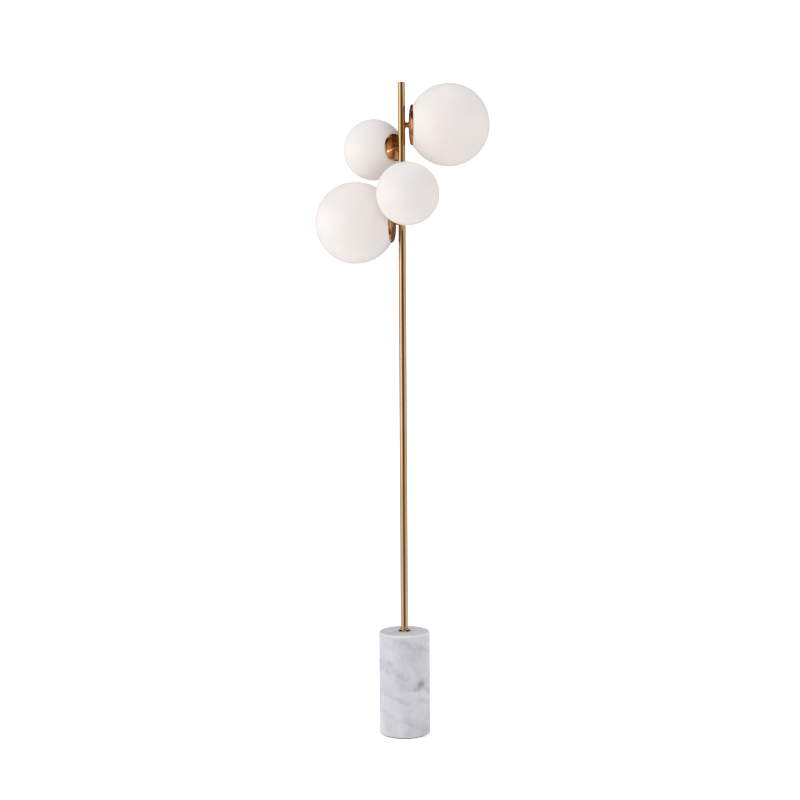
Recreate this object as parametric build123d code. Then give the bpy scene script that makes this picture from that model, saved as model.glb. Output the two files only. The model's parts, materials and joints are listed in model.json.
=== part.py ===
from build123d import *
from dataclasses import dataclass
from math import cos, radians, sin, sqrt
import os

# Globe floor lamp, in millimetres. +Z is up, -Y is the front, and the origin lies on the floor
# on the pole's axis. A marble block carries a brass pole in two lengths. Four opal glass globes,
# two large and two small, stand out from the pole on short turned arms. Each globe is pushed onto
# a three-leaf spring in a shallow spun cup, and is pulled straight off to change its bulb.

# Heights of the whole lamp
lamp_height = 1549.4            # 61 in, floor to the top of the pole
pole_seam_height = 900          # where the two lengths of pole meet

# Marble base
base_diameter = 122
base_height = 246.5             # floor to the top of the marble
base_top_round = 4
base_foot_round = 2.5
base_bore_diameter = 13
recess_diameter = 64
recess_depth = 27

# Foot pad, the disc that closes the recess and that the marble stands on
pad_thickness = 1.6
pad_inset = 3.5                 # from the marble's side to the pad's edge

# Pole
pole_diameter = 17.5
pole_wall = 1.5
cap_thickness = 2.4
cap_round = 0.9
cap_plug_length = 9
coupler_length = 56
foot_plug_length = 32
slug_length = 24                # of the tapped slug behind each arm
insert_fit = 0.1                # between the pole's bore and what is fixed inside it
lead_bore_diameter = 6.4        # for the leads, through all that is fixed inside the pole

# Collar at the pole's foot, a thin flange that sweeps up to a narrow lip round the pole
collar_diameter = 30
collar_height = 5.6
collar_flange = 1.3             # thickness at its edge
collar_lip = 1.2                # width of the lip, at the top
collar_fit = 0.15

# Tie rod and its fixings in the recess under the base
rod_diameter = 10
rod_fit = 0.1
rod_tail = 3                    # below the nut
plate_diameter = 50
plate_thickness = 3
spring_washer_diameter = 18
spring_washer_thickness = 2.2
spring_washer_slot = 1.6
rod_nut_flats = 17
rod_nut_height = 8
nut_chamfer = 0.6

# Grommet where the lead leaves, low at the back of the base
grommet_height = 15             # of its centre, above the floor
grommet_bore_diameter = 7
grommet_sleeve_diameter = 10
grommet_flange_diameter = 16
grommet_flange_thickness = 2.2
grommet_length = 14
grommet_fit = 0.1
grommet_seat_depth = 3.2        # the flat seat cut into the round side of the marble

# Arms: a turned spacer on a hollow threaded nipple, with a lock nut in the cup
arm_length = 8.05               # from the pole's surface to the back of the cup
arm_end_diameter = 14.2
arm_waist_diameter = 11.8
arm_land = 0.8                  # straight band at each end of the waist
saddle_fit = 0.05
nipple_diameter = 6
nipple_bore_diameter = 3.6
nipple_fit = 0.12
nut_flats = 10
nut_height = 3

# Cups, spun from sheet
cup_wall = 1
cup_flat_diameter = 22          # the flat middle, where the arm and the nut clamp it
cup_rim_gap = 0.6               # from the cup's lip to the glass, along the arm
large_cup_diameter = 96
large_cup_corner = 5.6
small_cup_diameter = 65
small_cup_corner = 4.8

# Globes, blown, with the mouth cut and ground flat
large_globe_diameter = 194
large_globe_wall = 3
large_globe_standoff = 14       # from the pole's axis to the sphere, before its mouth is cut
large_mouth_diameter = 70
small_globe_diameter = 146
small_globe_wall = 2.6
small_globe_standoff = 17.5
small_mouth_diameter = 43
mouth_depth = 5                 # from the back of the cup to the ground edge of the glass
mouth_chamfer = 0.4

# Silicone ring between the cup and the ground edge of the glass
ring_gap = 0.3                  # left under the glass
ring_inset = 0.5                # from the mouth's bore
ring_lap = 0.6                  # past the outside of the ground edge

# Spring clips: three bent leaves on one hub
leaf_count = 3
leaf_thickness = 0.6
leaf_width = 9
leaf_gap = 0.3                  # from the corners of a leaf's knee to the mouth's bore
leaf_hub_diameter = 20
leaf_rise = 0.9                 # the leaf's heel lies this much under the ground edge
leaf_heel_inset = 3.4
leaf_tip_inset = 2.2
leaf_tip_reach = 5              # past the ground edge
leaf_knee_reach = 1.4
leaf_bend = 0.8

# Bulb holders, two-pin ceramic
holder_diameter = 20
holder_length = 22
holder_neck_diameter = 14
holder_neck_length = 5
holder_thread_depth = 6
holder_slot_width = 6.4
holder_slot_length = 13.6
holder_slot_depth = 5
pin_spacing = 9
pin_diameter = 1.4
pin_length = 8
pin_fit = 0.3
holder_edge = 1

# Bulbs, frosted capsules on a flat foot
bulb_diameter = 16
bulb_length = 46                # from its shoulder to its tip
bulb_foot_width = 5.6
bulb_foot_length = 12.8
bulb_foot_depth = 4.4           # the part that goes into the holder's slot
bulb_fit = 0.3                  # from the bulb's shoulder to the holder
bulb_shoulder_round = 2.5

# Where each light stands: how far it lies under the one above it, or the first under the top
# of the pole, and its bearing from +X, counted anticlockwise as seen from above
top_drop = 99.6
top_bearing = 1
back_drop = 50.9
back_bearing = 137.5
front_drop = 116.9
front_bearing = -81.5
low_drop = 59.8
low_bearing = 172

# Worked out from the sizes above
pole_radius = pole_diameter / 2
pole_bore_radius = pole_radius - pole_wall
insert_radius = pole_bore_radius - insert_fit
lead_bore_radius = lead_bore_diameter / 2
rod_radius = rod_diameter / 2
base_radius = base_diameter / 2
recess_ceiling = pad_thickness + recess_depth
nipple_radius = nipple_diameter / 2
cup_back = pole_radius + arm_length
cup_floor = cup_back + cup_wall
mouth_plane = cup_back + mouth_depth
nut_base = cup_floor + leaf_thickness
holder_base = nut_base + nut_height
holder_face = holder_base + holder_length


@dataclass
class LightSize:
    """What differs between a large light and a small one."""
    globe_radius: float
    wall: float
    standoff: float
    mouth_radius: float
    cup_radius: float
    cup_corner: float

    @property
    def reach(self):
        """From the pole's axis to the globe's centre."""
        return self.globe_radius + self.standoff

    def glass_at(self, radius):
        """How far out from the pole's axis the outside of the glass lies, at a radius from
        the arm's axis, on the side of the globe that faces the pole."""
        return self.reach - sqrt(self.globe_radius ** 2 - radius ** 2)

    @property
    def rim_plane(self):
        return self.glass_at(self.cup_radius - cup_wall) - cup_rim_gap

    @property
    def ground_edge_radius(self):
        return sqrt(self.globe_radius ** 2 - (self.reach - mouth_plane) ** 2)


large = LightSize(large_globe_diameter / 2, large_globe_wall, large_globe_standoff,
                  large_mouth_diameter / 2, large_cup_diameter / 2, large_cup_corner)
small = LightSize(small_globe_diameter / 2, small_globe_wall, small_globe_standoff,
                  small_mouth_diameter / 2, small_cup_diameter / 2, small_cup_corner)

lights = {
    "top": (large, lamp_height - top_drop, top_bearing),
    "back": (small, lamp_height - top_drop - back_drop, back_bearing),
    "front": (small, lamp_height - top_drop - back_drop - front_drop, front_bearing),
    "low": (large, lamp_height - top_drop - back_drop - front_drop - low_drop, low_bearing),
}


# Shared shapes. A piece of a light is made about its own +Z axis, with Z counted outward from
# the pole's axis, and is then turned to the light's bearing.

def turned(half_profile):
    """A round solid from a half profile, drawn with x as the radius and y along the axis."""
    return revolve(Plane.XZ * half_profile, Axis.Z)


def tube(outer_radius, inner_radius, bottom, top):
    return turned(make_face(Polyline((inner_radius, bottom), (outer_radius, bottom),
                                     (outer_radius, top), (inner_radius, top), close=True)))


def rod(radius, bottom, top):
    return Pos(0, 0, bottom) * Cylinder(radius, top - bottom, align=(Align.CENTER, Align.CENTER, Align.MIN))


def hex_nut(flats, bore_radius, bottom, height):
    """A hexagon nut with both ends of its corners turned off."""
    corner_radius = flats / sqrt(3)
    blank = extrude(RegularPolygon(flats / 2, 6, major_radius=False), height)
    barrel = chamfer(Cylinder(corner_radius, height, align=(Align.CENTER, Align.CENTER, Align.MIN))
                     .edges(), nut_chamfer)
    return Pos(0, 0, bottom) * (blank & barrel) - rod(bore_radius, bottom - 1, bottom + height + 1)


def at_light(height, bearing):
    """The plane of a light's own axis: Z outward along the arm, X upward."""
    angle = radians(bearing)
    return Plane(origin=(0, 0, height), x_dir=(0, 0, 1), z_dir=(cos(angle), sin(angle), 0))


# The stand

def marble_base():
    block = rod(base_radius, pad_thickness, base_height)
    block = fillet(block.edges().sort_by(Axis.Z)[-1], base_top_round)
    block = fillet(block.edges().sort_by(Axis.Z)[0], base_foot_round)
    block -= rod(base_bore_diameter / 2, 0, lamp_height)
    block -= rod(recess_diameter / 2, 0, recess_ceiling)
    outlet = Plane(origin=(0, 0, grommet_height), z_dir=(0, 1, 0))
    seat = base_radius - grommet_seat_depth
    block -= outlet * rod(grommet_sleeve_diameter / 2 + grommet_fit, 0, base_diameter)
    block -= outlet * rod(grommet_flange_diameter / 2 + grommet_fit, seat, base_diameter)
    return block


def foot_pad():
    return rod(base_radius - pad_inset, 0, pad_thickness)


def base_collar():
    """A turned escutcheon: flat flange, hollow sweep and narrow lip."""
    bore = pole_radius + collar_fit
    lip = bore + collar_lip
    flange_top = base_height + collar_flange
    top = base_height + collar_height
    sweep = TangentArc((collar_diameter / 2, flange_top), (lip, top), tangent=(-1, 0))
    outline = sweep + Polyline((lip, top), (bore, top), (bore, base_height),
                               (collar_diameter / 2, base_height), (collar_diameter / 2, flange_top))
    return turned(make_face(outline))


def pole_lower():
    return tube(pole_radius, pole_bore_radius, base_height, pole_seam_height)


def pole_upper():
    length = tube(pole_radius, pole_bore_radius, pole_seam_height, lamp_height - cap_thickness)
    for size, height, bearing in lights.values():
        length -= at_light(height, bearing) * rod(nipple_radius + nipple_fit, 0, pole_diameter)
    return length


def pole_cap():
    disc = rod(pole_radius, lamp_height - cap_thickness, lamp_height)
    disc = fillet(disc.edges().sort_by(Axis.Z)[-1], cap_round)
    return disc + rod(insert_radius, lamp_height - cap_thickness - cap_plug_length, lamp_height - cap_thickness)


def pole_coupler():
    return tube(insert_radius, lead_bore_radius,
                pole_seam_height - coupler_length / 2, pole_seam_height + coupler_length / 2)


def pole_foot():
    plug = tube(insert_radius, lead_bore_radius, base_height, base_height + foot_plug_length)
    return plug - rod(rod_radius + rod_fit, 0, rod_top + rod_fit)


rod_top = base_height + foot_plug_length * 0.75
nut_top = recess_ceiling - plate_thickness - spring_washer_thickness
rod_bottom = nut_top - rod_nut_height - rod_tail


def tie_rod():
    return tube(rod_radius, lead_bore_radius, rod_bottom, rod_top)


def clamp_plate():
    return tube(plate_diameter / 2, rod_radius + rod_fit, recess_ceiling - plate_thickness, recess_ceiling)


def spring_washer():
    ring = tube(spring_washer_diameter / 2, rod_radius + rod_fit, nut_top, nut_top + spring_washer_thickness)
    slot = Box(spring_washer_diameter, spring_washer_slot, 3 * spring_washer_thickness,
               align=(Align.MIN, Align.CENTER, Align.CENTER))
    return ring - Pos(0, 0, nut_top) * Rot(30, 0, 0) * slot


def rod_nut():
    return hex_nut(rod_nut_flats, rod_radius + rod_fit, nut_top - rod_nut_height, rod_nut_height)


def cord_grommet():
    """A rubber bush with a flange outside, along +Y. Its bore has rounded mouths."""
    seat = base_radius - grommet_seat_depth
    face = seat + grommet_flange_thickness
    bush = rod(grommet_sleeve_diameter / 2, face - grommet_length, face)
    bush += rod(grommet_flange_diameter / 2, seat, face)
    bush = fillet(bush.edges().sort_by(Axis.Z)[-1], grommet_flange_thickness / 3)
    bush -= rod(grommet_bore_diameter / 2, 0, base_diameter)
    return Plane(origin=(0, 0, grommet_height), z_dir=(0, 1, 0)) * bush


# The pieces of one light

def globe(size):
    """A blown sphere with its mouth cut through and ground flat."""
    ball = Pos(0, 0, size.reach) * (Sphere(size.globe_radius) - Sphere(size.globe_radius - size.wall))
    ball -= rod(size.mouth_radius, 0, size.reach)
    ball -= rod(size.globe_radius, 0, mouth_plane)
    mouth = ball.edges().filter_by(GeomType.CIRCLE).group_by(Axis.Z)[0]
    return chamfer(mouth, mouth_chamfer)


def cup_line(size):
    """The outside of the spun cup: a flat middle, a shallow dome and a tight corner."""
    flat = Line((nipple_radius + nipple_fit, cup_back), (cup_flat_diameter / 2, cup_back))
    dome_end = (size.cup_radius - size.cup_corner, size.rim_plane - size.cup_corner)
    dome = TangentArc(flat @ 1, dome_end, tangent=flat % 1)
    corner = TangentArc(dome @ 1, (size.cup_radius, size.rim_plane), tangent=dome % 1)
    return Wire([flat.edge(), dome.edge(), corner.edge()])


def cup_profile(size):
    return make_face(offset(cup_line(size), cup_wall, side=Side.LEFT))


def cup(size):
    return turned(cup_profile(size))


def seal_ring(size):
    """A silicone ring, flat under the glass and shaped to the cup's floor below."""
    inner = size.mouth_radius + ring_inset
    outer = size.ground_edge_radius + ring_lap
    top = mouth_plane - ring_gap
    blank = Pos((inner + outer) / 2, (cup_back + top) / 2) * Rectangle(outer - inner, top - cup_back)
    above_cup = [face for face in (blank - cup_profile(size)).faces() if face.center().Y > cup_floor]
    return turned(max(above_cup, key=lambda face: face.center().Y))


def spring_clip(size):
    """Three leaves on a hub. Each rises to a heel, bends up to a knee that bears on the glass
    and turns in at its tip, so that the globe slides on over it."""
    knee = sqrt((size.mouth_radius - leaf_gap) ** 2 - (leaf_width / 2) ** 2)
    under = FilletPolyline((0, cup_floor), (leaf_hub_diameter / 2, cup_floor),
                           (knee - leaf_heel_inset, mouth_plane - leaf_rise),
                           (knee, mouth_plane + leaf_knee_reach),
                           (knee - leaf_tip_inset, mouth_plane + leaf_tip_reach), radius=leaf_bend)
    strip = make_face(offset(under, leaf_thickness, side=Side.LEFT))
    leaf = extrude(Plane.XZ * strip, leaf_width / 2, both=True)
    clip = rod(leaf_hub_diameter / 2, cup_floor, cup_floor + leaf_thickness)
    for number in range(leaf_count):
        clip += Rot(0, 0, number * 360 / leaf_count) * leaf
    return clip - rod(nipple_radius + nipple_fit, 0, holder_face)


def arm(size):
    """A turned spacer with a drawn-in waist. Its inner end is a saddle that fits the pole."""
    waist_middle = (pole_radius + cup_back) / 2
    end_radius = arm_end_diameter / 2
    waist = ThreePointArc((end_radius, pole_radius + arm_land), (arm_waist_diameter / 2, waist_middle),
                          (end_radius, cup_back - arm_land))
    outline = waist + Polyline((end_radius, cup_back - arm_land), (end_radius, cup_back),
                               (nipple_radius + nipple_fit, cup_back), (nipple_radius + nipple_fit, 0),
                               (end_radius, 0), (end_radius, pole_radius + arm_land))
    return turned(make_face(outline)) - Rot(0, 90, 0) * Cylinder(pole_radius + saddle_fit, arm_length * 4)


def nipple(size):
    return tube(nipple_radius, nipple_bore_diameter / 2,
                lead_bore_radius + nipple_fit, holder_base + holder_thread_depth)


def arm_slug(size):
    """A plug inside the pole, tapped from the side for the nipple and bored for the leads."""
    plug = Rot(0, 90, 0) * tube(insert_radius, lead_bore_radius, -slug_length / 2, slug_length / 2)
    return plug - rod(nipple_radius + nipple_fit, 0, pole_diameter)


def lock_nut(size):
    return hex_nut(nut_flats, nipple_radius + nipple_fit, nut_base, nut_height)


def bulb_holder(size):
    """A ceramic body on a narrower neck, with a slot for the bulb's foot and two pin holes."""
    body = rod(holder_neck_diameter / 2, holder_base, holder_base + holder_neck_length)
    head = rod(holder_diameter / 2, holder_base + holder_neck_length, holder_face)
    body += chamfer(head.edges().group_by(Axis.Z)[-1] + head.edges().group_by(Axis.Z)[0], holder_edge)
    body -= rod(nipple_radius + nipple_fit, holder_base - 1, holder_base + holder_thread_depth + nipple_fit)
    slot = extrude(SlotOverall(holder_slot_length, holder_slot_width), -holder_slot_depth)
    body -= Pos(0, 0, holder_face) * Rot(0, 0, 90) * slot
    hole_bottom = holder_face - holder_slot_depth - pin_length - pin_fit
    for side in (-1, 1):
        body -= Pos(0, side * pin_spacing / 2, 0) * rod(pin_diameter / 2 + pin_fit, hole_bottom, holder_face)
    return body


def bulb(size):
    """A frosted capsule with a round tip, a flat foot and two pins."""
    shoulder = holder_face + bulb_fit
    radius = bulb_diameter / 2
    capsule = rod(radius, shoulder, shoulder + bulb_length - radius)
    capsule = fillet(capsule.edges().sort_by(Axis.Z)[0], bulb_shoulder_round)
    capsule += Pos(0, 0, shoulder + bulb_length - radius) * Sphere(radius)
    foot = extrude(SlotOverall(bulb_foot_length, bulb_foot_width), -bulb_foot_depth - bulb_shoulder_round)
    capsule += Pos(0, 0, shoulder + bulb_shoulder_round) * Rot(0, 0, 90) * foot
    foot_end = shoulder - bulb_foot_depth
    for side in (-1, 1):
        capsule += Pos(0, side * pin_spacing / 2, 0) * rod(pin_diameter / 2, foot_end - pin_length, foot_end)
    return capsule


stand_pieces = [marble_base, foot_pad, base_collar, pole_lower, pole_upper, pole_cap, pole_coupler,
                pole_foot, tie_rod, clamp_plate, spring_washer, rod_nut, cord_grommet]
light_pieces = [globe, cup, seal_ring, spring_clip, arm, nipple, arm_slug, lock_nut, bulb_holder, bulb]


def save(name, shape):
    export_step(shape, f"parts/{name}.step")
    print(f"{name}: {len(shape.solids())} solid, {shape.volume:.0f} mm3")


os.makedirs("parts", exist_ok=True)
for piece in stand_pieces:
    save(piece.__name__, piece())
for place, (size, height, bearing) in lights.items():
    for piece in light_pieces:
        save(f"{piece.__name__}_{place}", at_light(height, bearing) * piece(size))
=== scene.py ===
import json
import math

import bpy
from mathutils import Matrix, Vector

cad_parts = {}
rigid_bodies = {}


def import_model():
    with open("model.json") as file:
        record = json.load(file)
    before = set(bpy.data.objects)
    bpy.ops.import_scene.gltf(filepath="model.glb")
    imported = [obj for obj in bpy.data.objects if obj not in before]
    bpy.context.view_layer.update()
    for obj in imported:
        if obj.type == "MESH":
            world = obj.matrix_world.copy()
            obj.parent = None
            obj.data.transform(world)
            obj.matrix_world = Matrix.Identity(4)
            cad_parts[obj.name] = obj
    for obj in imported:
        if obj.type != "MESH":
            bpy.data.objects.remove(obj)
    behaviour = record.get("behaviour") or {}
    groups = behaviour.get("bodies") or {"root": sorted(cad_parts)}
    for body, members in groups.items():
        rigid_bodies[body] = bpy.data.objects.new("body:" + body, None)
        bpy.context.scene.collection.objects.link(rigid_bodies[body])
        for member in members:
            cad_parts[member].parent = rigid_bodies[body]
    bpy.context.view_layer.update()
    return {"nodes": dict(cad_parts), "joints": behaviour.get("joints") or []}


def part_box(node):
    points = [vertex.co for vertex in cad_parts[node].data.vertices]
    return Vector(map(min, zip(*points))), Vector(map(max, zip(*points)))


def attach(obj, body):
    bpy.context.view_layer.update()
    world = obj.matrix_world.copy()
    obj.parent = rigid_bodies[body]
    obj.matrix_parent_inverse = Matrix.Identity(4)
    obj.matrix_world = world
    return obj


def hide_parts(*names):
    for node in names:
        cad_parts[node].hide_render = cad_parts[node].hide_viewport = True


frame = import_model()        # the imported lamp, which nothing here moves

mm = 0.001               # every size below is in millimetres, and Blender works in metres

# Every light's bearing is read from the axis that its globe slides along
pullAxis = {joint["child"]: Vector(joint["axis"]) for joint in frame["joints"]}
places = ("top", "back", "front", "low")
largePlaces = ("top", "low")


def toLinear(hexColour):
    channels = [int(hexColour[start:start + 2], 16) / 255 for start in (1, 3, 5)]
    return [c / 12.92 if c <= 0.04045 else ((c + 0.055) / 1.055) ** 2.4 for c in channels] + [1]


def addNode(tree, kind, inputs=None, stops=None, **settings):
    node = tree.nodes.new(kind)
    for name, value in settings.items():
        setattr(node, name, value)
    for socket, value in (inputs or {}).items():
        if isinstance(value, bpy.types.NodeSocket):
            tree.links.new(value, node.inputs[socket])
        else:
            node.inputs[socket].default_value = value
    for number, (position, colour) in enumerate(stops or []):
        elements = node.color_ramp.elements
        element = elements[number] if number < 2 else elements.new(position)
        element.position = position
        element.color = colour
    return node


def newMaterial(name):
    material = bpy.data.materials.new(name)
    material.use_nodes = True
    material.node_tree.nodes.clear()
    return material, material.node_tree


def finishMaterial(tree, shader):
    addNode(tree, "ShaderNodeOutputMaterial", {"Surface": shader.outputs["BSDF"]})


milkyRadius = (1.0, 0.9, 0.85)       # red light goes a little further into stone and milky glass

marbleLook = {
    "ground": "#D9DBE1", "cloud": "#C4C5CB", "vein": "#92949C", "lilac": "#A9A8CC",
    # the pale edge colour on the next line is a painted highlight for the rounded top edge
    "edgeHighlight": "#F0F0F4", "roughness": 0.34, "glow": 0.12, "glowDepth": 4,
    # sizes in mm: of the clouds, of how far and how often they wander, of tints, streaks and grain
    "cloudSize": 60, "driftSize": 55, "driftReach": 70, "tintSize": 38, "streakSize": 26,
    "grainSize": 1.2, "tint": 0.16,
    # the painted highlight on the rounded top edge: its width, its depth and how softly it ends
    "edgeHighlightWidth": 4.5, "edgeHighlightDepth": 5, "edgeHighlightFade": 2, "edgeHighlightStrength": 0.4,
    # veins: height on the front, slope down to the right in degrees, half width, strength
    "veins": ((144, 31, 19, 0.5), (94, 13, 11, 0.3), (225, 24, 12, 0.3), (40, 22, 12, 0.22),
              (188, 40, 6, 0.16)),
    # patches: across, back, up, radius, strength. The large ones are grey, the others lilac
    "largePatch": 20,
    "patches": ((42, -44, 128, 22, 0.95), (-56, -20, 158, 13, 0.6), (54, -24, 232, 12, 0.6),
                (57, -16, 52, 12, 0.55), (-57, -14, 106, 12, 0.4), (50, -32, 148, 13, 0.4),
                (-30, 50, 190, 24, 0.5), (20, 55, 70, 26, 0.5)),
}


def honedMarble(radius, top):
    # White marble, sawn, turned and honed: soft grey and lilac clouds, and light goes in a little
    look = marbleLook
    material, tree = newMaterial("honedMarble")
    coords = addNode(tree, "ShaderNodeTexCoord").outputs["Object"]
    drift = addNode(tree, "ShaderNodeTexNoise", {
        "Vector": coords, "Scale": 1 / (look["driftSize"] * mm), "Detail": 5.0, "Roughness": 0.62})
    swing = addNode(tree, "ShaderNodeVectorMath", {
        0: drift.outputs["Color"], 1: (0.5, 0.5, 0.5)}, operation="SUBTRACT")
    push = addNode(tree, "ShaderNodeVectorMath", {
        0: swing.outputs["Vector"], "Scale": look["driftReach"] * mm}, operation="SCALE")
    warped = addNode(tree, "ShaderNodeVectorMath", {
        0: coords, 1: push.outputs["Vector"]}, operation="ADD").outputs["Vector"]
    clouds = addNode(tree, "ShaderNodeTexNoise", {
        "Vector": warped, "Scale": 1 / (look["cloudSize"] * mm), "Detail": 6.0, "Roughness": 0.58})
    shade = addNode(tree, "ShaderNodeValToRGB", {"Fac": clouds.outputs["Fac"]}, stops=(
        (0.34, toLinear(look["ground"])), (0.68, toLinear(look["cloud"]))))
    tint = addNode(tree, "ShaderNodeTexNoise", {
        "Vector": warped, "Scale": 1 / (look["tintSize"] * mm), "Detail": 3.0, "Roughness": 0.5})
    tintPart = addNode(tree, "ShaderNodeMapRange", {
        "Value": tint.outputs["Fac"], "From Min": 0.52, "From Max": 0.72, "To Max": look["tint"]})
    colour = addNode(tree, "ShaderNodeMix", {
        "Factor": tintPart.outputs["Result"], 6: shade.outputs["Color"],
        7: toLinear(look["lilac"])}, data_type="RGBA").outputs[2]
    streaks = addNode(tree, "ShaderNodeTexNoise", {
        "Vector": coords, "Scale": 1 / (look["streakSize"] * mm), "Detail": 5.0, "Roughness": 0.65})
    patchy = addNode(tree, "ShaderNodeMapRange", {
        "Value": streaks.outputs["Fac"], "From Min": 0.32, "From Max": 0.62})
    marks = []
    for height, slope, halfWidth, strength in look["veins"]:
        slant = math.radians(slope)
        reach = addNode(tree, "ShaderNodeVectorMath", {
            0: warped, 1: (0, -radius, height * mm)}, operation="SUBTRACT")
        across = addNode(tree, "ShaderNodeVectorMath", {
            0: reach.outputs["Vector"], 1: (math.sin(slant), 0.12, math.cos(slant))},
            operation="DOT_PRODUCT")
        away = addNode(tree, "ShaderNodeMath", {0: across.outputs["Value"]}, operation="ABSOLUTE")
        band = addNode(tree, "ShaderNodeMapRange", {
            "Value": away.outputs["Value"], "From Min": halfWidth * mm, "From Max": 0.0,
            "To Max": strength}, interpolation_type="SMOOTHERSTEP")
        broken = addNode(tree, "ShaderNodeMath", {
            0: band.outputs["Result"], 1: patchy.outputs["Result"]}, operation="MULTIPLY")
        marks.append((broken.outputs["Value"], look["vein"]))
    for across, back, up, size, strength in look["patches"]:
        away = addNode(tree, "ShaderNodeVectorMath", {
            0: warped, 1: (across * mm, back * mm, up * mm)}, operation="DISTANCE")
        patch = addNode(tree, "ShaderNodeMapRange", {
            "Value": away.outputs["Value"], "From Min": size * mm, "From Max": 0.0,
            "To Max": strength}, interpolation_type="SMOOTHERSTEP")
        mark = look["vein"] if size > look["largePatch"] else look["lilac"]
        marks.append((patch.outputs["Result"], mark))
    for strength, mark in marks:
        colour = addNode(tree, "ShaderNodeMix", {
            "Factor": strength, 6: colour, 7: toLinear(mark)}, data_type="RGBA").outputs[2]
    parts = addNode(tree, "ShaderNodeSeparateXYZ", {"Vector": coords})
    flat = addNode(tree, "ShaderNodeCombineXYZ", {"X": parts.outputs["X"], "Y": parts.outputs["Y"]})
    spread = addNode(tree, "ShaderNodeVectorMath", {0: flat.outputs["Vector"]}, operation="LENGTH")
    # The rounded top edge gets a painted highlight, a paler band where the edge would catch the
    # light
    edgeStart, edgeBottom = radius - look["edgeHighlightWidth"] * mm, top - look["edgeHighlightDepth"] * mm
    outward = addNode(tree, "ShaderNodeMapRange", {
        "Value": spread.outputs["Value"], "From Min": edgeStart,
        "From Max": edgeStart + look["edgeHighlightFade"] * mm})
    upward = addNode(tree, "ShaderNodeMapRange", {
        "Value": parts.outputs["Z"], "From Min": edgeBottom,
        "From Max": edgeBottom + look["edgeHighlightFade"] * mm, "To Max": look["edgeHighlightStrength"]})
    paintedEdgeHighlight = addNode(tree, "ShaderNodeMath", {
        0: outward.outputs["Result"], 1: upward.outputs["Result"]}, operation="MULTIPLY")
    colour = addNode(tree, "ShaderNodeMix", {
        "Factor": paintedEdgeHighlight.outputs["Value"], 6: colour, 7: toLinear(look["edgeHighlight"])},
        data_type="RGBA").outputs[2]
    grain = addNode(tree, "ShaderNodeTexNoise", {
        "Vector": coords, "Scale": 1 / (look["grainSize"] * mm), "Detail": 2.0})
    sparkle = addNode(tree, "ShaderNodeMapRange", {
        "Value": grain.outputs["Fac"], "To Min": 0.96, "To Max": 1.04})
    speckled = addNode(tree, "ShaderNodeVectorMath", {
        0: colour, "Scale": sparkle.outputs["Result"]}, operation="SCALE")
    gloss = addNode(tree, "ShaderNodeMapRange", {
        "Value": clouds.outputs["Fac"], "To Min": look["roughness"] - 0.05,
        "To Max": look["roughness"] + 0.07})
    bump = addNode(tree, "ShaderNodeBump", {
        "Height": grain.outputs["Fac"], "Strength": 0.04, "Distance": 0.2 * mm})
    shader = addNode(tree, "ShaderNodeBsdfPrincipled", {
        "Base Color": speckled.outputs["Vector"], "Roughness": gloss.outputs["Result"],
        "Normal": bump.outputs["Normal"], "IOR": 1.49, "Subsurface Weight": look["glow"],
        "Subsurface Radius": milkyRadius, "Subsurface Scale": look["glowDepth"] * mm})
    finishMaterial(tree, shader)
    return material


opalLook = {"body": "#FBF0E9", "dense": "#FBF6F2", "cloudSize": 130, "roughness": 0.44,
            "etchSize": 0.9, "milk": 0.45, "milkDepth": 10}


def opalGlass():
    # Opal glass, blown and acid etched: milky, so thin that light comes through, dull and silky
    look = opalLook
    material, tree = newMaterial("opalGlass")
    coords = addNode(tree, "ShaderNodeTexCoord").outputs["Object"]
    milk = addNode(tree, "ShaderNodeTexNoise", {
        "Vector": coords, "Scale": 1 / (look["cloudSize"] * mm), "Detail": 2.0, "Roughness": 0.4})
    colour = addNode(tree, "ShaderNodeValToRGB", {"Fac": milk.outputs["Fac"]}, stops=(
        (0.35, toLinear(look["body"])), (0.65, toLinear(look["dense"]))))
    etch = addNode(tree, "ShaderNodeTexNoise", {
        "Vector": coords, "Scale": 1 / (look["etchSize"] * mm), "Detail": 3.0})
    silk = addNode(tree, "ShaderNodeMapRange", {
        "Value": etch.outputs["Fac"], "To Min": look["roughness"] - 0.06,
        "To Max": look["roughness"] + 0.06})
    bump = addNode(tree, "ShaderNodeBump", {
        "Height": etch.outputs["Fac"], "Strength": 0.04, "Distance": 0.1 * mm})
    shader = addNode(tree, "ShaderNodeBsdfPrincipled", {
        "Base Color": colour.outputs["Color"], "Roughness": silk.outputs["Result"],
        "Normal": bump.outputs["Normal"], "IOR": 1.5, "Subsurface Weight": look["milk"],
        "Subsurface Radius": milkyRadius, "Subsurface Scale": look["milkDepth"] * mm})
    finishMaterial(tree, shader)
    return material


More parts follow.
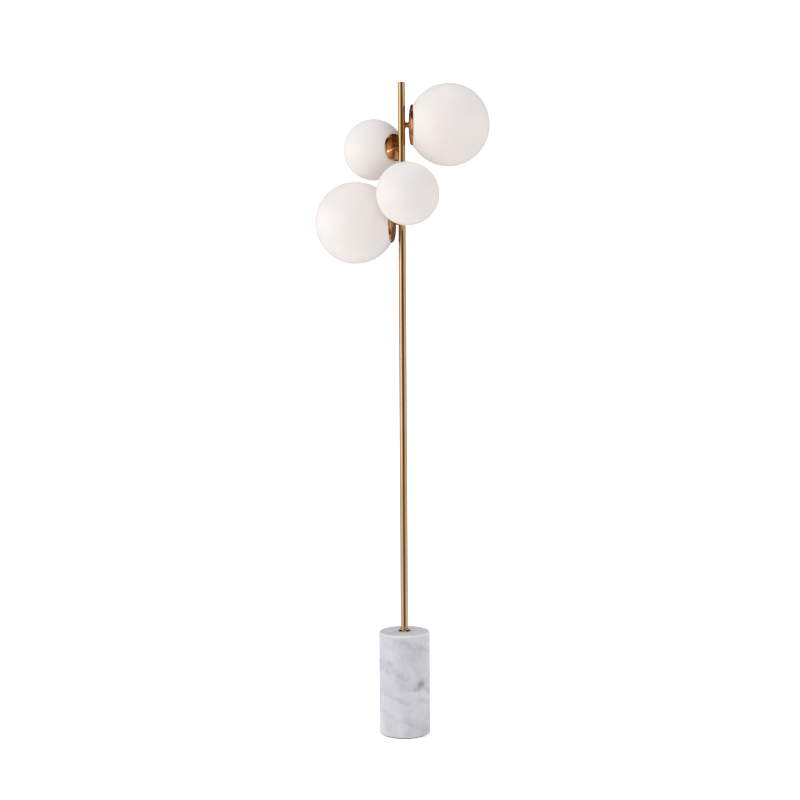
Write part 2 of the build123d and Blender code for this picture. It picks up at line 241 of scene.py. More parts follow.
def brushedMetal(name, look, place=Matrix()):
    # Metal turned or spun on a lathe, or linished round and round: fine rings about one axis
    material, tree = newMaterial(name)
    coords = addNode(tree, "ShaderNodeTexCoord").outputs["Object"]
    turn = place.to_euler()
    local = addNode(tree, "ShaderNodeMapping", {
        "Vector": coords, "Location": place.to_translation(), "Rotation": turn},
        vector_type="TEXTURE").outputs["Vector"]
    parts = addNode(tree, "ShaderNodeSeparateXYZ", {"Vector": local})
    flat = addNode(tree, "ShaderNodeCombineXYZ", {"X": parts.outputs["X"], "Y": parts.outputs["Y"]})
    radius = addNode(tree, "ShaderNodeVectorMath", {0: flat.outputs["Vector"]}, operation="LENGTH")
    if look["lengthwise"]:
        # Drawn out two hundred times along the tube
        linePlace = addNode(tree, "ShaderNodeVectorMath", {
            0: local, 1: (1, 1, 0.005)}, operation="MULTIPLY")
    else:
        linePlace = addNode(tree, "ShaderNodeCombineXYZ", {
            "X": radius.outputs["Value"], "Y": parts.outputs["Z"]})
    rings = addNode(tree, "ShaderNodeTexNoise", {
        "Vector": linePlace.outputs["Vector"], "Scale": 1 / (look["ringWidth"] * mm),
        "Detail": 4.0, "Roughness": 0.7})
    tarnish = addNode(tree, "ShaderNodeTexNoise", {
        "Vector": local, "Scale": 1 / (look["tarnishSize"] * mm), "Detail": 4.0, "Roughness": 0.6})
    warm = addNode(tree, "ShaderNodeValToRGB", {"Fac": tarnish.outputs["Fac"]}, stops=(
        (0.35, toLinear(look["bright"])), (0.7, toLinear(look["dull"]))))
    ringShade = addNode(tree, "ShaderNodeMapRange", {
        "Value": rings.outputs["Fac"], "To Min": 1 - look["ringShade"],
        "To Max": 1 + look["ringShade"]})
    colour = addNode(tree, "ShaderNodeVectorMath", {
        0: warm.outputs["Color"], "Scale": ringShade.outputs["Result"]}, operation="SCALE")
    gloss = addNode(tree, "ShaderNodeMapRange", {
        "Value": rings.outputs["Fac"], "To Min": look["roughness"] - 0.03,
        "To Max": look["roughness"] + 0.03})
    bump = addNode(tree, "ShaderNodeBump", {
        "Height": rings.outputs["Fac"], "Strength": look["ringDepth"], "Distance": 0.05 * mm})
    around = addNode(tree, "ShaderNodeVectorMath", {
        0: (0, 0, 1), 1: flat.outputs["Vector"]}, operation="CROSS_PRODUCT")
    grainWay = addNode(tree, "ShaderNodeVectorRotate", {
        "Vector": around.outputs["Vector"], "Rotation": turn}, rotation_type="EULER_XYZ")
    facing = addNode(tree, "ShaderNodeNewGeometry").outputs["Normal"]
    # Fine grooves spread a highlight across themselves, along the surface
    acrossGrain = addNode(tree, "ShaderNodeVectorMath", {
        0: grainWay.outputs["Vector"], 1: facing}, operation="CROSS_PRODUCT")
    spreadWay = grainWay if look["lengthwise"] else acrossGrain
    shader = addNode(tree, "ShaderNodeBsdfPrincipled", {
        "Base Color": colour.outputs["Vector"], "Metallic": 1.0,
        "Roughness": gloss.outputs["Result"], "Normal": bump.outputs["Normal"],
        "Anisotropic": look["anisotropy"], "Tangent": spreadWay.outputs["Vector"],
        "Coat Weight": look["coat"], "Coat Roughness": 0.12})
    finishMaterial(tree, shader)
    return material


# A ring drawn at its true width would be finer than the picture shows, so it is drawn wider
poleLook = {"bright": "#C3A781", "dull": "#B89B73", "roughness": 0.14, "anisotropy": 0.6,
            "ringWidth": 0.8, "ringShade": 0.02, "ringDepth": 0.0, "tarnishSize": 120, "coat": 0.4,
            "lengthwise": True}
cupLook = {"bright": "#D4A270", "dull": "#C68C54", "roughness": 0.26, "anisotropy": 1.0,
           "ringWidth": 0.8, "ringShade": 0.04, "ringDepth": 0.03, "tarnishSize": 40, "coat": 0.0,
           "lengthwise": False}
collarLook = {"bright": "#E3CB8E", "dull": "#D6B877", "roughness": 0.16, "anisotropy": 0.5,
              "ringWidth": 0.5, "ringShade": 0.03, "ringDepth": 0.02, "tarnishSize": 30,
              "coat": 0.3, "lengthwise": False}
turnedLook = {"bright": "#B8865E", "dull": "#AA7850", "roughness": 0.3, "anisotropy": 0.6,
              "ringWidth": 0.5, "ringShade": 0.03, "ringDepth": 0.03, "tarnishSize": 30,
              "coat": 0.3, "lengthwise": False}
zincLook = {"bright": "#C4C8CC", "dull": "#A9AEB4", "roughness": 0.34, "anisotropy": 0.3,
            "ringWidth": 0.5, "ringShade": 0.05, "ringDepth": 0.1, "tarnishSize": 12, "coat": 0.0,
            "lengthwise": False}
springLook = {"bright": "#B4B7BB", "dull": "#8F9398", "roughness": 0.28, "anisotropy": 0.5,
              "ringWidth": 0.3, "ringShade": 0.04, "ringDepth": 0.05, "tarnishSize": 10,
              "coat": 0.0, "lengthwise": False}


def softMaterial(name, look):
    # Rubber, silicone, ceramic and the like: one body colour, broken up by a fine surface
    material, tree = newMaterial(name)
    coords = addNode(tree, "ShaderNodeTexCoord").outputs["Object"]
    patches = addNode(tree, "ShaderNodeTexNoise", {
        "Vector": coords, "Scale": 1 / (look["patchSize"] * mm), "Detail": 3.0})
    colour = addNode(tree, "ShaderNodeValToRGB", {"Fac": patches.outputs["Fac"]}, stops=(
        (0.3, toLinear(look["dark"])), (0.7, toLinear(look["light"]))))
    fine = addNode(tree, "ShaderNodeTexNoise", {
        "Vector": coords, "Scale": 1 / (look["grainSize"] * mm), "Detail": 3.0})
    gloss = addNode(tree, "ShaderNodeMapRange", {
        "Value": fine.outputs["Fac"], "To Min": look["roughness"] - 0.06,
        "To Max": look["roughness"] + 0.06})
    bump = addNode(tree, "ShaderNodeBump", {
        "Height": fine.outputs["Fac"], "Strength": look["grainDepth"], "Distance": 0.2 * mm})
    shader = addNode(tree, "ShaderNodeBsdfPrincipled", {
        "Base Color": colour.outputs["Color"], "Roughness": gloss.outputs["Result"],
        "Normal": bump.outputs["Normal"], "IOR": look["ior"], "Sheen Weight": look["sheen"]})
    finishMaterial(tree, shader)
    return material


feltLook = {"dark": "#121212", "light": "#262626", "patchSize": 3, "grainSize": 0.5,
            "roughness": 0.93, "grainDepth": 0.8, "ior": 1.4, "sheen": 0.4}
rubberLook = {"dark": "#131314", "light": "#1E1E20", "patchSize": 6, "grainSize": 0.4,
              "roughness": 0.6, "grainDepth": 0.2, "ior": 1.52, "sheen": 0.0}
siliconeLook = {"dark": "#DEDDD8", "light": "#E9E8E4", "patchSize": 8, "grainSize": 0.5,
                "roughness": 0.5, "grainDepth": 0.1, "ior": 1.41, "sheen": 0.0}
ceramicLook = {"dark": "#DAD6CC", "light": "#E7E4DC", "patchSize": 5, "grainSize": 0.3,
               "roughness": 0.55, "grainDepth": 0.25, "ior": 1.6, "sheen": 0.0}
frostLook = {"dark": "#EEEDE9", "light": "#F7F6F3", "patchSize": 10, "grainSize": 0.3,
             "roughness": 0.5, "grainDepth": 0.15, "ior": 1.5, "sheen": 0.0}


def armPlace(place):
    # The frame of one light: its origin on the pole's axis, Z outward along the arm, X up
    outward = pullAxis["globe_" + place]
    up = Vector((0, 0, 1))
    low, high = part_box("lock_nut_" + place)
    level = Vector((0, 0, (low[2] + high[2]) / 2))
    turn = Matrix((up, outward.cross(up), outward)).transposed()
    return Matrix.Translation(level) @ turn.to_4x4()


def arc(middle, radius, start, end, steps):
    # Points of an arc in the plane of an outline, from one angle to another, in degrees
    angles = [math.radians(start + (end - start) * step / steps) for step in range(steps + 1)]
    return [(middle[0] + radius * math.cos(a), middle[1] + radius * math.sin(a)) for a in angles]


def turnOutline(name, outline, segments, place=Matrix()):
    # Drawn by hand from one point, each next point extruded, then spun about Z
    bpy.ops.object.select_all(action="DESELECT")
    bpy.ops.mesh.primitive_plane_add(size=mm)
    piece = bpy.context.object
    piece.name = name
    bpy.ops.object.mode_set(mode="EDIT")
    bpy.ops.mesh.select_all(action="SELECT")
    bpy.ops.mesh.merge(type="CENTER")
    last = (0, 0)
    for number, point in enumerate(outline):
        step = ((point[0] - last[0]) * mm, 0, (point[1] - last[1]) * mm)
        if number == 0:
            bpy.ops.transform.translate(value=step)
        else:
            bpy.ops.mesh.extrude_region_move(TRANSFORM_OT_translate={"value": step})
        last = point
    bpy.ops.mesh.select_all(action="SELECT")
    bpy.ops.mesh.remove_doubles(threshold=0.001 * mm)
    bpy.ops.mesh.spin(steps=segments, angle=math.tau, center=(0, 0, 0), axis=(0, 0, 1))
    bpy.ops.mesh.select_all(action="SELECT")
    bpy.ops.mesh.remove_doubles(threshold=0.002 * mm)
    bpy.ops.mesh.delete_loose()
    bpy.ops.mesh.select_all(action="SELECT")
    bpy.ops.mesh.normals_make_consistent(inside=False)
    bpy.ops.object.mode_set(mode="OBJECT")
    settle(piece, place)
    return piece


def settle(piece, place=Matrix()):
    # Puts the piece in place and leaves its object at the origin
    bpy.ops.object.select_all(action="DESELECT")
    piece.select_set(True)
    bpy.context.view_layer.objects.active = piece
    piece.matrix_world = place @ piece.matrix_world
    bpy.ops.object.transform_apply(location=True, rotation=True, scale=True)


def soften(piece, width, corner=30, segments=3):
    # Rounds the sharp edges by a real width, then shades all but the sharpest smoothly
    bpy.ops.object.select_all(action="DESELECT")
    piece.select_set(True)
    bpy.context.view_layer.objects.active = piece
    if width:
        bevel = piece.modifiers.new("roundedEdges", "BEVEL")
        bevel.width = width * mm
        bevel.segments = segments
        bevel.limit_method = "ANGLE"
        bevel.angle_limit = math.radians(corner)
        bpy.ops.object.modifier_apply(modifier=bevel.name)
    bpy.ops.object.shade_smooth_by_angle(angle=math.radians(corner))
    # Long straight faces keep their own shading, and only the rounds between them blend
    blend = piece.modifiers.new("faceWeights", "WEIGHTED_NORMAL")
    blend.keep_sharp = True
    bpy.ops.object.modifier_apply(modifier=blend.name)


def dress(piece, body, node, material):
    piece.data.materials.clear()
    piece.data.materials.append(material)
    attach(piece, body)
    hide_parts(node)


def coat(node, material):
    # A CAD node whose shape is right keeps it and gets a finish
    for slot in frame["nodes"][node].material_slots:
        slot.material = material


def nodeTop(node):
    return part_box(node)[1][2] / mm


def nodeBottom(node):
    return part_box(node)[0][2] / mm


def nodeWidth(node):
    low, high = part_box(node)
    return (high[0] - low[0]) / mm


marbleSizes = {"topRound": 4, "footRound": 2.5, "boreDiameter": 13, "recessDiameter": 64,
               "recessDepth": 27, "segments": 160, "roundSteps": 7}


def makeMarbleBase():
    sizes = marbleSizes
    bottom, top = nodeBottom("marble_base"), nodeTop("marble_base")
    radius = nodeWidth("marble_base") / 2
    bore, recess = sizes["boreDiameter"] / 2, sizes["recessDiameter"] / 2
    ceiling = bottom + sizes["recessDepth"]
    topRound, footRound, steps = sizes["topRound"], sizes["footRound"], sizes["roundSteps"]
    outline = [(bore, ceiling), (bore, top)]
    outline += [(bore + (radius - topRound - bore) * part / 6, top) for part in range(1, 6)]
    outline += arc((radius - topRound, top - topRound), topRound, 90, 0, steps)
    outline += [(radius, top - topRound - (top - bottom - topRound - footRound) * part / 24)
                for part in range(1, 24)]
    outline += arc((radius - footRound, bottom + footRound), footRound, 0, -90, steps)
    outline += [(recess, bottom), (recess, ceiling), (bore, ceiling)]
    block = turnOutline("marbleBlock", outline, sizes["segments"])
    outletHeight = (nodeBottom("cord_grommet") + nodeTop("cord_grommet")) / 2
    cutOutlet(block, outletHeight, radius)
    soften(block, 0)
    dress(block, "stand", "marble_base", materials["marble"])


outletSizes = {"sleeveDiameter": 10.2, "seatDiameter": 16.2, "seatDepth": 3.2, "segments": 48}


def cutOutlet(block, height, radius):
    # The hole for the lead, low at the back, with a flat seat for the grommet's flange
    sizes = outletSizes
    cuts = ((sizes["sleeveDiameter"], radius / 2, radius),
            (sizes["seatDiameter"], radius - sizes["seatDepth"], radius * 2))
    for diameter, start, end in cuts:
        bpy.ops.object.select_all(action="DESELECT")
        bpy.ops.mesh.primitive_cylinder_add(
            vertices=sizes["segments"], radius=diameter / 2 * mm, depth=(end - start) * mm,
            location=(0, (start + end) / 2 * mm, height * mm), rotation=(math.pi / 2, 0, 0))
        drill = bpy.context.object
        cut = block.modifiers.new("outlet", "BOOLEAN")
        cut.operation = "DIFFERENCE"
        cut.solver = "EXACT"
        cut.object = drill
        bpy.ops.object.select_all(action="DESELECT")
        block.select_set(True)
        bpy.context.view_layer.objects.active = block
        bpy.ops.object.modifier_apply(modifier=cut.name)
        bpy.data.objects.remove(drill)


padSizes = {"edgeRound": 0.5, "segments": 128}


def makeFootPad():
    sizes = padSizes
    bottom, top = nodeBottom("foot_pad"), nodeTop("foot_pad")
    radius, soft = nodeWidth("foot_pad") / 2, sizes["edgeRound"]
    outline = [(0, top), (radius * 0.5, top)]
    outline += arc((radius - soft, top - soft), soft, 90, 0, 4)
    outline += arc((radius - soft, bottom + soft), soft, 0, -90, 4)
    outline += [(radius * 0.5, bottom), (0, bottom)]
    pad = turnOutline("feltPad", outline, sizes["segments"])
    soften(pad, 0)
    dress(pad, "stand", "foot_pad", materials["felt"])


collarSizes = {"flange": 1.3, "lip": 1.2, "fit": 0.15, "edgeRound": 0.25, "segments": 96,
               "sweepSteps": 12}


def makeCollar():
    # A flat flange that sweeps up in a hollow curve to a narrow lip round the pole
    sizes = collarSizes
    bottom, top = nodeBottom("base_collar"), nodeTop("base_collar")
    outer, bore = nodeWidth("base_collar") / 2, poleRadius + sizes["fit"]
    lip, flangeTop = bore + sizes["lip"], bottom + sizes["flange"]
    run, rise = outer - lip, top - flangeTop
    sweepRadius = (run ** 2 + rise ** 2) / (2 * rise)
    turned = math.degrees(math.asin(run / sweepRadius))
    outline = [(bore, bottom), (outer, bottom)]
    outline += arc((outer, flangeTop + sweepRadius), sweepRadius, -90, -90 - turned,
                   sizes["sweepSteps"])
    outline += [(bore, top), (bore, bottom)]
    collar = turnOutline("poleCollar", outline, sizes["segments"])
    soften(collar, sizes["edgeRound"])
    dress(collar, "stand", "base_collar", materials["collar"])


poleSizes = {"wall": 1.5, "segments": 72, "ringEvery": 60, "seamEdge": 0.25, "hiddenEdge": 0.1,
             "capRound": 0.9, "capEdge": 0.15, "plugFit": 0.1, "plugEdge": 0.5}
poleRadius = nodeWidth("pole_lower") / 2


def makePoleLength(name, node, topEdge, bottomEdge):
    # One length of tube. Its end at the seam has a fine chamfer, which shows as a hairline
    sizes = poleSizes
    bottom, top = nodeBottom(node), nodeTop(node)
    bore = poleRadius - sizes["wall"]
    outline = [(bore, bottom), (poleRadius - bottomEdge, bottom), (poleRadius, bottom + bottomEdge)]
    rings = int((top - bottom) / sizes["ringEvery"])
    outline += [(poleRadius, bottom + (top - bottom) * part / rings) for part in range(1, rings)]
    outline += [(poleRadius, top - topEdge), (poleRadius - topEdge, top)]
    outline += [(bore, top), (bore, bottom)]
    length = turnOutline(name, outline, sizes["segments"])
    soften(length, 0, corner=50)
    dress(length, "stand", node, materials["pole"])


def makePoleCap():
    sizes = poleSizes
    top, bottom = nodeTop("pole_cap"), nodeTop("pole_upper")
    plugBottom, plugRadius = nodeBottom("pole_cap"), poleRadius - sizes["wall"] - sizes["plugFit"]
    edge, footEdge, plugEdge = sizes["capRound"], sizes["capEdge"], sizes["plugEdge"]
    outline = [(0, top), (poleRadius * 0.5, top)]
    outline += arc((poleRadius - edge, top - edge), edge, 90, 0, 6)
    outline += [(poleRadius, bottom + footEdge), (poleRadius - footEdge, bottom),
                (plugRadius, bottom), (plugRadius, plugBottom + plugEdge),
                (plugRadius - plugEdge, plugBottom), (0, plugBottom)]
    cap = turnOutline("poleCap", outline, sizes["segments"])
    soften(cap, 0)
    dress(cap, "stand", "pole_cap", materials["pole"])


# Distances along an arm are counted from the pole's axis
lightSizes = {
    "large": {"globeRadius": 97, "wall": 3, "standoff": 14, "mouthRadius": 35,
              "cupRadius": 48, "cupCorner": 5.6},
    "small": {"globeRadius": 73, "wall": 2.6, "standoff": 17.5, "mouthRadius": 21.5,
              "cupRadius": 32.5, "cupCorner": 4.8},
}
headSizes = {"cupBack": 16.8, "mouthDepth": 5, "mouthChamfer": 0.4, "cupWall": 1, "cupFlat": 11,
             "rimGap": 0.6, "bore": 3.12, "armEnd": 7.1, "armWaist": 5.9, "armLand": 0.8}


def sizeOf(place):
    return lightSizes["large" if place in largePlaces else "small"]


globeDetail = {"segments": 144, "outerSteps": 80, "innerSteps": 56}


def makeGlobe(place):
    # Blown ball with its mouth cut, ground flat and lightly arrised
    size, detail = sizeOf(place), globeDetail
    outer, inner = size["globeRadius"], size["globeRadius"] - size["wall"]
    middle = (0, outer + size["standoff"])
    lip = headSizes["cupBack"] + headSizes["mouthDepth"]
    edge, mouth = headSizes["mouthChamfer"], size["mouthRadius"]
    outerStart = math.degrees(math.asin((lip + edge - middle[1]) / outer))
    innerStart = math.degrees(math.asin(-math.sqrt(inner ** 2 - mouth ** 2) / inner))
    lipRadius = math.sqrt(outer ** 2 - (middle[1] - lip) ** 2) - edge
    outline = [(mouth, lip + edge), (mouth + edge, lip), (lipRadius, lip)]
    outline += arc(middle, outer, outerStart, 90, detail["outerSteps"])[:-1]
    outline += [(0, middle[1] + outer), (0, middle[1] + inner)]
    outline += arc(middle, inner, 90, innerStart, detail["innerSteps"])[1:]
    outline += [(mouth, lip + edge)]
    globe = turnOutline("opalGlobe_" + place, outline, detail["segments"], armPlace(place))
    soften(globe, 0)
    dress(globe, "globe_" + place, "globe_" + place, materials["opal"])


cupDetail = {"segments": 128, "domeSteps": 14, "cornerSteps": 10, "lipSteps": 6}


def makeCup(place):
    # Spun from sheet: flat middle, shallow dome, tight corner, and a rolled lip near the glass
    size, detail = sizeOf(place), cupDetail
    back, wall = headSizes["cupBack"], headSizes["cupWall"]
    reach = size["globeRadius"] + size["standoff"]
    lipRadius = size["cupRadius"] - wall
    rim = reach - math.sqrt(size["globeRadius"] ** 2 - lipRadius ** 2) - headSizes["rimGap"]
    flat, corner = headSizes["cupFlat"], size["cupCorner"]
    run, rise = size["cupRadius"] - corner - flat, rim - corner - back
    domeRadius = (run ** 2 + rise ** 2) / (2 * rise)
    lean = math.degrees(math.asin(run / domeRadius))
    outer = [(headSizes["bore"], back), (flat, back)]
    outer += arc((flat, back + domeRadius), domeRadius, -90, -90 + lean, detail["domeSteps"])[1:]
    cornerTurn = 90 - 2 * lean
    cornerRadius = corner * math.sqrt(2) / (2 * math.sin(math.radians(cornerTurn / 2)))
    end = outer[-1]
    middle = (end[0] - cornerRadius * math.sin(math.radians(lean)),
              end[1] + cornerRadius * math.cos(math.radians(lean)))
    outer += arc(middle, cornerRadius, -90 + lean, -90 + lean + cornerTurn,
                 detail["cornerSteps"])[1:]
    inner = [(headSizes["bore"], back + wall), (flat, back + wall)]
    inner += arc((flat, back + domeRadius), domeRadius - wall, -90, -90 + lean,
                 detail["domeSteps"])[1:]
    inner += arc(middle, cornerRadius - wall, -90 + lean, -90 + lean + cornerTurn,
                 detail["cornerSteps"])[1:]
    rimEnd, rimStart = outer[-1], inner[-1]
    rimMiddle = ((rimEnd[0] + rimStart[0]) / 2, (rimEnd[1] + rimStart[1]) / 2)
    roll = arc(rimMiddle, wall / 2, -lean, -lean + 180, detail["lipSteps"])[1:-1]
    outline = outer + roll + inner[::-1] + [outer[0]]
    cup = turnOutline("spunCup_" + place, outline, detail["segments"], armPlace(place))
    soften(cup, 0, corner=40)
    dress(cup, "stand", "cup_" + place,
          brushedMetal("spunBrass_" + place, cupLook, armPlace(place)))


armDetail = {"segments": 64, "waistSteps": 18, "startsAt": 3, "saddleFit": 0.05,
             "saddleSegments": 96, "saddleLength": 60}


def makeArm(place):
    # A turned spacer with a drawn-in waist, its inner end cut to a saddle on the pole
    sizes, detail = headSizes, armDetail
    back = sizes["cupBack"]
    inside = detail["startsAt"]
    start, end = poleRadius + sizes["armLand"], back - sizes["armLand"]
    depth, half = sizes["armEnd"] - sizes["armWaist"], (end - start) / 2
    waistRadius = (half ** 2 + depth ** 2) / (2 * depth)
    spread = math.degrees(math.asin(half / waistRadius))
    middle = (sizes["armWaist"] + waistRadius, (start + end) / 2)
    outline = [(sizes["bore"], inside), (sizes["armEnd"], inside)]
    outline += arc(middle, waistRadius, 180 + spread, 180 - spread, detail["waistSteps"])
    outline += [(sizes["armEnd"], back), (sizes["bore"], back), (sizes["bore"], inside)]
    spacer = turnOutline("armSpacer_" + place, outline, detail["segments"], armPlace(place))
    level = armPlace(place).to_translation()
    bpy.ops.object.select_all(action="DESELECT")
    bpy.ops.mesh.primitive_cylinder_add(
        vertices=detail["saddleSegments"], radius=(poleRadius + detail["saddleFit"]) * mm,
        depth=detail["saddleLength"] * mm, location=level)
    post = bpy.context.object
    cut = spacer.modifiers.new("saddle", "BOOLEAN")
    cut.operation = "DIFFERENCE"
    cut.solver = "EXACT"
    cut.object = post
    bpy.ops.object.select_all(action="DESELECT")
    spacer.select_set(True)
    bpy.context.view_layer.objects.active = spacer
    bpy.ops.object.modifier_apply(modifier=cut.name)
    bpy.data.objects.remove(post)
    soften(spacer, 0, corner=35)
    dress(spacer, "stand", "arm_" + place,
          brushedMetal("turnedBrass_" + place, turnedLook, armPlace(place)))


stageLook = {"floor": "#F2F2F2", "glow": 0.45, "width": 2400, "front": 300, "back": 1400,
             "gap": 0.2}


def makeStage():
    # A sheet of white studio paper, which ends a little in front of the lamp
    look = stageLook
    depth = look["front"] + look["back"]
    bpy.ops.object.select_all(action="DESELECT")
    bpy.ops.mesh.primitive_plane_add(
        size=mm, location=(0, (look["back"] - depth / 2) * mm, -look["gap"] * mm))
    floor = bpy.context.object
    floor.name = "studioPaper"
    bpy.ops.object.mode_set(mode="EDIT")
    bpy.ops.mesh.select_all(action="SELECT")
    bpy.ops.transform.resize(value=(look["width"], depth, 1))
    bpy.ops.object.mode_set(mode="OBJECT")
    material, tree = newMaterial("studioPaper")
    seen = addNode(tree, "ShaderNodeLightPath").outputs["Is Camera Ray"]
    glow = addNode(tree, "ShaderNodeMath", {0: seen, 1: look["glow"]}, operation="MULTIPLY")
    shader = addNode(tree, "ShaderNodeBsdfPrincipled", {
        "Base Color": toLinear(look["floor"]), "Roughness": 0.9, "Specular IOR Level": 0.1,
        "Emission Color": (1, 1, 1, 1), "Emission Strength": glow.outputs["Value"]})
    finishMaterial(tree, shader)
    floor.data.materials.append(material)


# Solved from the photograph: lens for a 36 mm sensor, place, dip and roll
cameraSizes = {"lens": 65.07, "place": (-7.4, -3434, 1000), "dip": 3.306, "roll": -0.34}


def makeCamera():
    data = bpy.data.cameras.new("camera")
    data.lens = cameraSizes["lens"]
    data.sensor_width = 36
    camera = bpy.data.objects.new("camera", data)
    bpy.context.scene.collection.objects.link(camera)
    aim = Matrix.Rotation(math.radians(90 - cameraSizes["dip"]), 4, "X")
    roll = Matrix.Rotation(math.radians(cameraSizes["roll"]), 4, "Z")
    camera.matrix_world = Matrix.Translation(Vector(cameraSizes["place"]) * mm) @ aim @ roll
    bpy.context.scene.camera = camera


# The studio: soft white light all round, and what the polished metal sees in it, by how far
# round from the camera one looks (0 is behind the lamp, 1 is behind the camera)
worldLook = {
    "soft": 0.985, "softLeft": 1.22, "softRight": 1.0, "softHigh": 1.0, "softLow": 1.08,
    "softFront": 0.78, "softTint": "#FEFCFC", "seen": 1.35,
    "softFrontFrom": 0.2, "softFrontTo": 0.9,
    "shine": 1.36, "leftGain": 1.0, "rightGain": 0.84, "sideAt": 0.8,
    "dimBack": 0.03, "dimFloor": 0.5, "dimCeiling": 0.08, "levelFade": 0.1, "backUpTo": 0.1,
    "frontFrom": 0.6, "dimFrom": 0.26, "dimTo": 0.5, "shadeTint": "#A0652F",
    "skyWidth": 0.42, "widthFade": 0.12, "skyDepth": 0.3, "depthFade": 0.1, "skyFrom": 0.5,
    "skyTo": 0.62, "sky": 1.6,
    "towardCamera": (0.09, -0.996, 0),
    "round": ((0.0, "#4A4038"), (0.11, "#82786E"), (0.26, "#C3C4CA"), (0.5, "#EEF1FA"),
              (0.72, "#F7F9FF"), (0.895, "#DFD3C0"), (0.965, "#8A6528"), (1.0, "#402600")),
}


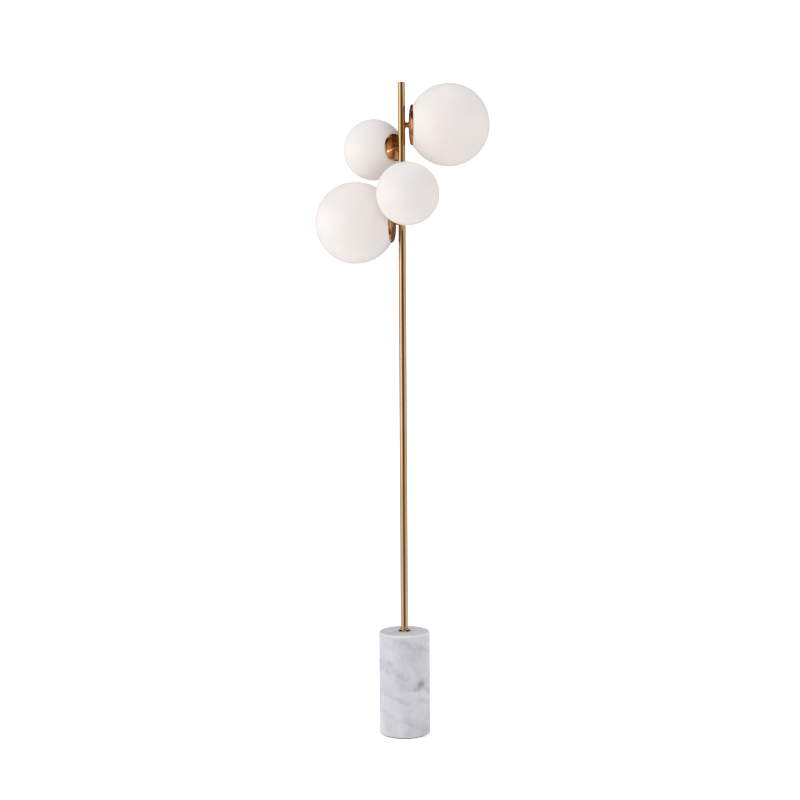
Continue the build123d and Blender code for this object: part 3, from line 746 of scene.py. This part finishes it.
def makeWorld():
    look = worldLook
    world = bpy.data.worlds.new("studio")
    bpy.context.scene.world = world
    world.use_nodes = True
    world.cycles.sampling_method = "NONE"
    tree = world.node_tree
    tree.nodes.clear()
    way = addNode(tree, "ShaderNodeTexCoord").outputs["Generated"]
    parts = addNode(tree, "ShaderNodeSeparateXYZ", {"Vector": way})
    toCamera = addNode(tree, "ShaderNodeVectorMath", {
        0: way, 1: look["towardCamera"]}, operation="DOT_PRODUCT")
    turned = addNode(tree, "ShaderNodeMapRange", {
        "Value": toCamera.outputs["Value"], "From Min": -1.0})
    room = addNode(tree, "ShaderNodeValToRGB", {"Fac": turned.outputs["Result"]}, stops=[
        (position, toLinear(colour)) for position, colour in look["round"]])
    gain = addNode(tree, "ShaderNodeMapRange", {
        "Value": parts.outputs["X"], "From Min": -look["sideAt"], "From Max": look["sideAt"],
        "To Min": look["leftGain"] * look["shine"], "To Max": look["rightGain"] * look["shine"]},
        interpolation_type="SMOOTHSTEP")
    steep = addNode(tree, "ShaderNodeMath", {0: parts.outputs["Z"]}, operation="ABSOLUTE")
    leastFront = addNode(tree, "ShaderNodeMapRange", {
        "Value": parts.outputs["Z"], "From Min": -look["levelFade"], "From Max": look["levelFade"],
        "To Min": look["dimFloor"], "To Max": look["dimCeiling"]})
    least = addNode(tree, "ShaderNodeMapRange", {
        "Value": toCamera.outputs["Value"], "From Min": look["backUpTo"],
        "From Max": look["frontFrom"], "To Min": look["dimBack"],
        "To Max": leastFront.outputs["Result"]})
    fall = addNode(tree, "ShaderNodeMapRange", {
        "Value": steep.outputs["Value"], "From Min": look["dimFrom"], "From Max": look["dimTo"],
        "To Min": 1.0, "To Max": least.outputs["Result"]}, interpolation_type="SMOOTHSTEP")
    wall = addNode(tree, "ShaderNodeMath", {
        0: gain.outputs["Result"], 1: fall.outputs["Result"]}, operation="MULTIPLY")
    aside = addNode(tree, "ShaderNodeMath", {0: parts.outputs["X"]}, operation="ABSOLUTE")
    narrow = addNode(tree, "ShaderNodeMapRange", {
        "Value": aside.outputs["Value"], "From Min": look["skyWidth"],
        "From Max": look["skyWidth"] - look["widthFade"]})
    above = addNode(tree, "ShaderNodeMapRange", {
        "Value": parts.outputs["Z"], "From Min": look["skyFrom"], "From Max": look["skyTo"],
        "To Max": look["sky"]})
    depth = addNode(tree, "ShaderNodeMath", {0: toCamera.outputs["Value"]}, operation="ABSOLUTE")
    short = addNode(tree, "ShaderNodeMapRange", {
        "Value": depth.outputs["Value"], "From Min": look["skyDepth"],
        "From Max": look["skyDepth"] - look["depthFade"]})
    strip = addNode(tree, "ShaderNodeMath", {
        0: narrow.outputs["Result"], 1: short.outputs["Result"]}, operation="MULTIPLY")
    sky = addNode(tree, "ShaderNodeMath", {
        0: strip.outputs["Value"], 1: above.outputs["Result"]}, operation="MULTIPLY")
    shine = addNode(tree, "ShaderNodeMath", {
        0: wall.outputs["Value"], 1: sky.outputs["Value"]}, operation="ADD")
    # High up and low down the room is not only darker but browner
    clear = addNode(tree, "ShaderNodeMath", {
        0: fall.outputs["Result"], 1: sky.outputs["Value"]}, operation="ADD", use_clamp=True)
    shade = addNode(tree, "ShaderNodeMix", {
        "Factor": clear.outputs["Value"], 6: toLinear(look["shadeTint"]), 7: room.outputs["Color"]},
        data_type="RGBA").outputs[2]
    soft = addNode(tree, "ShaderNodeMapRange", {
        "Value": parts.outputs["X"], "From Min": -1.0,
        "To Min": look["softLeft"] * look["soft"], "To Max": look["softRight"] * look["soft"]})
    level = addNode(tree, "ShaderNodeMapRange", {
        "Value": parts.outputs["Z"], "From Min": -1.0,
        "To Min": look["softLow"], "To Max": look["softHigh"]})
    front = addNode(tree, "ShaderNodeMapRange", {
        "Value": toCamera.outputs["Value"], "From Min": look["softFrontFrom"],
        "From Max": look["softFrontTo"], "To Min": 1.0, "To Max": look["softFront"]})
    softSides = addNode(tree, "ShaderNodeMath", {
        0: soft.outputs["Result"], 1: level.outputs["Result"]}, operation="MULTIPLY")
    softLight = addNode(tree, "ShaderNodeMath", {
        0: softSides.outputs["Value"], 1: front.outputs["Result"]}, operation="MULTIPLY")
    rays = addNode(tree, "ShaderNodeLightPath")
    tone = addNode(tree, "ShaderNodeMix", {
        "Factor": rays.outputs["Is Glossy Ray"], 6: toLinear(look["softTint"]), 7: shade},
        data_type="RGBA").outputs[2]
    colour = addNode(tree, "ShaderNodeMix", {
        "Factor": rays.outputs["Is Camera Ray"], 6: tone, 7: (1, 1, 1, 1)},
        data_type="RGBA").outputs[2]
    light = addNode(tree, "ShaderNodeMix", {
        "Factor": rays.outputs["Is Glossy Ray"], 2: softLight.outputs["Value"],
        3: shine.outputs["Value"]}, data_type="FLOAT").outputs[0]
    strength = addNode(tree, "ShaderNodeMix", {
        "Factor": rays.outputs["Is Camera Ray"], 2: light, 3: look["seen"]},
        data_type="FLOAT").outputs[0]
    backdrop = addNode(tree, "ShaderNodeBackground", {"Color": colour, "Strength": strength})
    addNode(tree, "ShaderNodeOutputWorld", {"Surface": backdrop.outputs["Background"]})


# The small lamp draws the bright wedge that a spun cup shows, and lights that cup alone
lamps = {
    "softboxLeft": {"place": (-2600, -1500, 1500), "size": (1100, 2400), "power": 9,
                    "tint": "#FBFBFF"},
    "wedgeLamp": {"place": (1675, -1726, 865), "size": (170, 170), "power": 11, "tint": "#F1F3FF",
                  "lights": "spunCup_back"},
}


def makeLamps():
    for name, lamp in lamps.items():
        data = bpy.data.lights.new(name, "AREA")
        data.shape = "RECTANGLE"
        data.size, data.size_y = (side * mm for side in lamp["size"])
        data.energy = lamp["power"]
        data.color = toLinear(lamp["tint"])[:3]
        light = bpy.data.objects.new(name, data)
        bpy.context.scene.collection.objects.link(light)
        spot = Vector(lamp["place"]) * mm
        aim = (Vector((0, 0, lamp["place"][2])) * mm - spot).to_track_quat("-Z", "Y")
        light.matrix_world = Matrix.Translation(spot) @ aim.to_matrix().to_4x4()
        if "lights" in lamp:
            lit = bpy.data.collections.new(name)
            lit.objects.link(bpy.data.objects[lamp["lights"]])
            light.light_linking.receiver_collection = lit


print("materials")
materials = {
    "marble": honedMarble(nodeWidth("marble_base") / 2 * mm, nodeTop("marble_base") * mm),
    "opal": opalGlass(),
    "pole": brushedMetal("satinBrassTube", poleLook),
    "turned": brushedMetal("turnedBrass", turnedLook),
    "collar": brushedMetal("polishedBrass", collarLook),
    "zinc": brushedMetal("zincPlatedSteel", zincLook),
    "spring": brushedMetal("springSteel", springLook),
    "felt": softMaterial("woolFelt", feltLook),
    "rubber": softMaterial("blackRubber", rubberLook),
    "silicone": softMaterial("silicone", siliconeLook),
    "ceramic": softMaterial("steatiteCeramic", ceramicLook),
    "frost": softMaterial("frostedGlass", frostLook),
}

print("stand")
makeMarbleBase()
makeFootPad()
makeCollar()
makePoleLength("poleLower", "pole_lower", poleSizes["seamEdge"], poleSizes["hiddenEdge"])
makePoleLength("poleUpper", "pole_upper", poleSizes["hiddenEdge"], poleSizes["seamEdge"])
makePoleCap()

print("lights")
for place in places:
    makeGlobe(place)
    makeCup(place)
    makeArm(place)

print("inner pieces")
coats = {"turned": ("pole_coupler", "pole_foot"), "rubber": ("cord_grommet",),
         "zinc": ("tie_rod", "clamp_plate", "spring_washer", "rod_nut")}
lightCoats = {"turned": ("nipple", "arm_slug", "lock_nut"), "silicone": ("seal_ring",),
              "spring": ("spring_clip",), "ceramic": ("bulb_holder",), "frost": ("bulb",)}
for finish, nodes in coats.items():
    for node in nodes:
        coat(node, materials[finish])
for finish, nodes in lightCoats.items():
    for node in nodes:
        for place in places:
            coat(node + "_" + place, materials[finish])

print("stage, camera and light")
makeStage()
makeCamera()
makeWorld()
makeLamps()
bpy.context.scene.view_settings.view_transform = "Standard"
